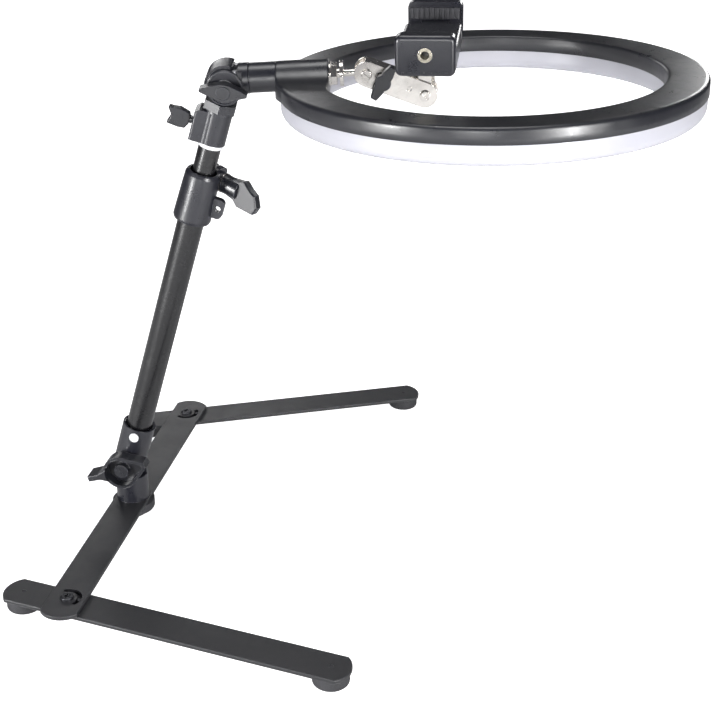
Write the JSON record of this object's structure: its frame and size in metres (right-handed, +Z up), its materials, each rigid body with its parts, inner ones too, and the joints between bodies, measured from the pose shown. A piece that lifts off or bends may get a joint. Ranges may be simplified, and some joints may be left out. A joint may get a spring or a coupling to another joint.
{
  "type": "ring light on folding stand",
  "caption": "Overhead ring lamp with a central phone clip, carried by an elbow on a leaning telescopic column over a flat steel base with swinging legs.",
  "frame": {"origin": "on the table plane, at the middle of the centre bar, below the column's foot", "axes": "+Z up, +Y along the centre bar toward the rear leg's pivot, +X the way the legs and the lamp reach"},
  "size_m": [0.4144, 0.3878, 0.3647],
  "materials": {
    "bar_steel": "satin powder coat",
    "foot_rubber": "matt",
    "screw_steel": "zinc plated",
    "nylon": "matt",
    "body_plastic": "fine satin grain",
    "tube_gloss": "gloss black",
    "knob_plastic": "fine satin grain",
    "nickel": "polished nickel",
    "white_plastic": "satin",
    "diffuser": "milky translucent",
    "board": "white solder mask",
    "led": "phosphor",
    "wire": "matt",
    "brass_insert": "plain",
    "pad_rubber": "matt ribbed"
  },
  "bodies": {
    "base": {"centre_bar": "bar_steel", "pivot_screws": "screw_steel", "pivot_nuts": "screw_steel", "pivot_washers": "nylon", "centre_foot": "foot_rubber", "mount_bolt": "screw_steel", "base_stub": "body_plastic", "tilt_nut": "screw_steel"},
    "front_leg": {"front_leg": "bar_steel", "front_stop_pin": "screw_steel", "front_leg_feet": "foot_rubber"},
    "rear_leg": {"rear_leg": "bar_steel", "rear_stop_pin": "screw_steel", "rear_leg_feet": "foot_rubber"},
    "column": {"column_socket": "body_plastic", "socket_rivet": "white_plastic", "outer_tube": "tube_gloss", "tube_bush": "nylon", "clamp_collar": "body_plastic", "collar_nut": "screw_steel"},
    "tilt_knob": {"tilt_knob": "knob_plastic", "tilt_bolt": "screw_steel"},
    "collar_knob": {"collar_knob": "knob_plastic", "collar_bolt": "screw_steel", "collar_washer": "nickel"},
    "slider": {"inner_tube": "tube_gloss", "tube_glide": "nylon", "spigot_ring": "white_plastic"},
    "head": {"head_socket": "body_plastic"},
    "head_thumbscrew": {"head_thumbscrew": "knob_plastic"},
    "ring_lamp": {"elbow_barrel": "body_plastic", "root_screws": "screw_steel", "elbow_bolt": "screw_steel", "elbow_washer": "screw_steel", "neck_tube": "body_plastic", "ring_shell": "body_plastic", "ring_diffuser": "diffuser", "led_board": "board", "led_chips": "led", "board_screws": "screw_steel", "power_lead": "wire", "arm_stud": "nickel", "inner_locknut": "nickel", "stud_washer": "nickel", "stud_nut": "nickel"},
    "elbow_wing_nut": {"elbow_wing_nut": "knob_plastic"},
    "arm_link": {"link_channel": "nickel", "link_rivets": "nickel", "arm_nut": "nickel"},
    "arm_knob": {"arm_knob": "knob_plastic", "arm_bolt": "screw_steel"},
    "holder": {"holder_bracket": "nickel", "holder_pad": "pad_rubber"},
    "clip": {"clip_body": "body_plastic", "thread_insert": "brass_insert", "bottom_insert": "brass_insert", "front_pad": "pad_rubber"},
    "clip_jaw": {"clip_jaw": "body_plastic", "rear_pad": "pad_rubber"}
  },
  "joints": [
    {"name": "front_leg_swing", "type": "hinge", "parent": "base", "child": "front_leg", "pos_m": [0, -0.1276, 0.01], "axis": [0, 0, 1], "range_deg": [-35.8, 84.2]},
    {"name": "rear_leg_swing", "type": "hinge", "parent": "base", "child": "rear_leg", "pos_m": [0, 0.1276, 0.01], "axis": [0, 0, 1], "range_deg": [-100, 20]},
    {"name": "column_tilt", "type": "hinge", "parent": "base", "child": "column", "pos_m": [0, 0, 0.0449], "axis": [0, 1, 0], "range_deg": [-46, 42]},
    {"name": "tilt_knob_turn", "type": "hinge", "parent": "base", "child": "tilt_knob", "pos_m": [0, 0, 0.0449], "axis": [0, -1, 0], "continuous": true},
    {"name": "column_slide", "type": "slide", "parent": "column", "child": "slider", "axis": [0.2773, 0, 0.9608], "range_m": [-0.01, 0.15]},
    {"name": "collar_knob_turn", "type": "hinge", "parent": "column", "child": "collar_knob", "pos_m": [0.06508, 0.01203, 0.25458], "axis": [0.9028, -0.342, -0.2606], "continuous": true},
    {"name": "head_pan", "type": "hinge", "parent": "slider", "child": "head", "pos_m": [0.07072, 0, 0.2899], "axis": [0.2773, 0, 0.9608], "continuous": true},
    {"name": "head_thumbscrew_turn", "type": "hinge", "parent": "head", "child": "head_thumbscrew", "pos_m": [0.07135, 0, 0.29211], "axis": [-0.9441, -0.1857, 0.2725], "continuous": true},
    {"name": "elbow_tilt", "type": "hinge", "parent": "head", "child": "ring_lamp", "pos_m": [0.07931, 0, 0.31968], "axis": [-0.1784, 0.9826, 0.0515], "range_deg": [-45, 35]},
    {"name": "elbow_wing_nut_turn", "type": "hinge", "parent": "ring_lamp", "child": "elbow_wing_nut", "pos_m": [0.08199, -0.01474, 0.31891], "axis": [0.1784, -0.9826, -0.0515], "continuous": true},
    {"name": "arm_pivot_1", "type": "hinge", "parent": "ring_lamp", "child": "arm_link", "pos_m": [0.16434, 0.015, 0.32796], "axis": [-0.1784, 0.9826, 0.0515], "range_deg": [-42, 57]},
    {"name": "arm_knob_turn", "type": "hinge", "parent": "arm_link", "child": "arm_knob", "pos_m": [0.17511, 0.01105, 0.32413], "axis": [0.1784, -0.9826, -0.0515], "continuous": true},
    {"name": "arm_pivot_2", "type": "hinge", "parent": "arm_link", "child": "holder", "pos_m": [0.19944, 0.02204, 0.31521], "axis": [-0.1784, 0.9826, 0.0515], "range_deg": [-2, 80]},
    {"name": "clip_spin", "type": "hinge", "parent": "holder", "child": "clip", "pos_m": [0.19877, 0.02065, 0.33946], "axis": [-0.0275, -0.0573, 0.998], "continuous": true},
    {"name": "clip_jaw_slide", "type": "slide", "parent": "clip", "child": "clip_jaw", "axis": [-0.0642, 0.9964, 0.0554], "range_m": [-0.012, 0.018]}
  ]
}
